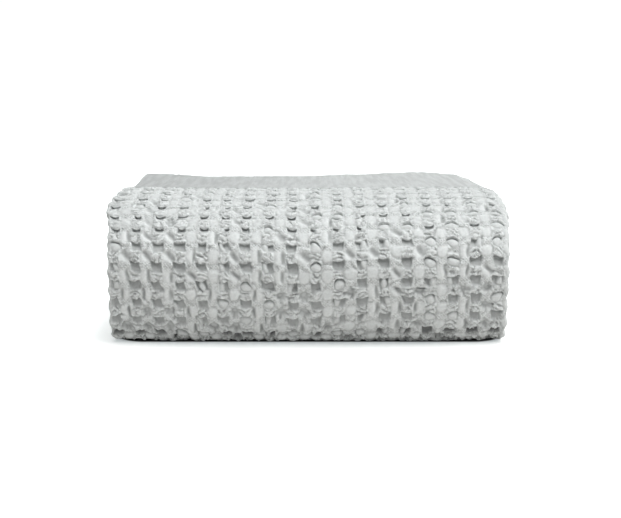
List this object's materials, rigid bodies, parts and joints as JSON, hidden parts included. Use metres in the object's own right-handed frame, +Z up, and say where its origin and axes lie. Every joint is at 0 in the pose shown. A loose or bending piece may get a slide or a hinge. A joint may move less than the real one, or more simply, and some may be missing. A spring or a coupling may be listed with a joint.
{
  "type": "bedspread",
  "caption": "Puckered waffle-weave bedspread with a smooth woven border, folded into a thick rounded pad for a shelf or the foot of a bed.",
  "frame": {"origin": "middle of the base of the folded pile, on the surface it lies on", "axes": "+X along the final fold, to the right seen from the front; the rounded front faces -Y; +Z up"},
  "size_m": [0.4652, 0.344, 0.1727],
  "materials": {
    "waffle_cotton": "matt pale grey cotton, puckered waffle weave with a plain-woven border"
  },
  "bodies": {
    "root": {"bedspread": "waffle_cotton"}
  },
  "joints": []
}
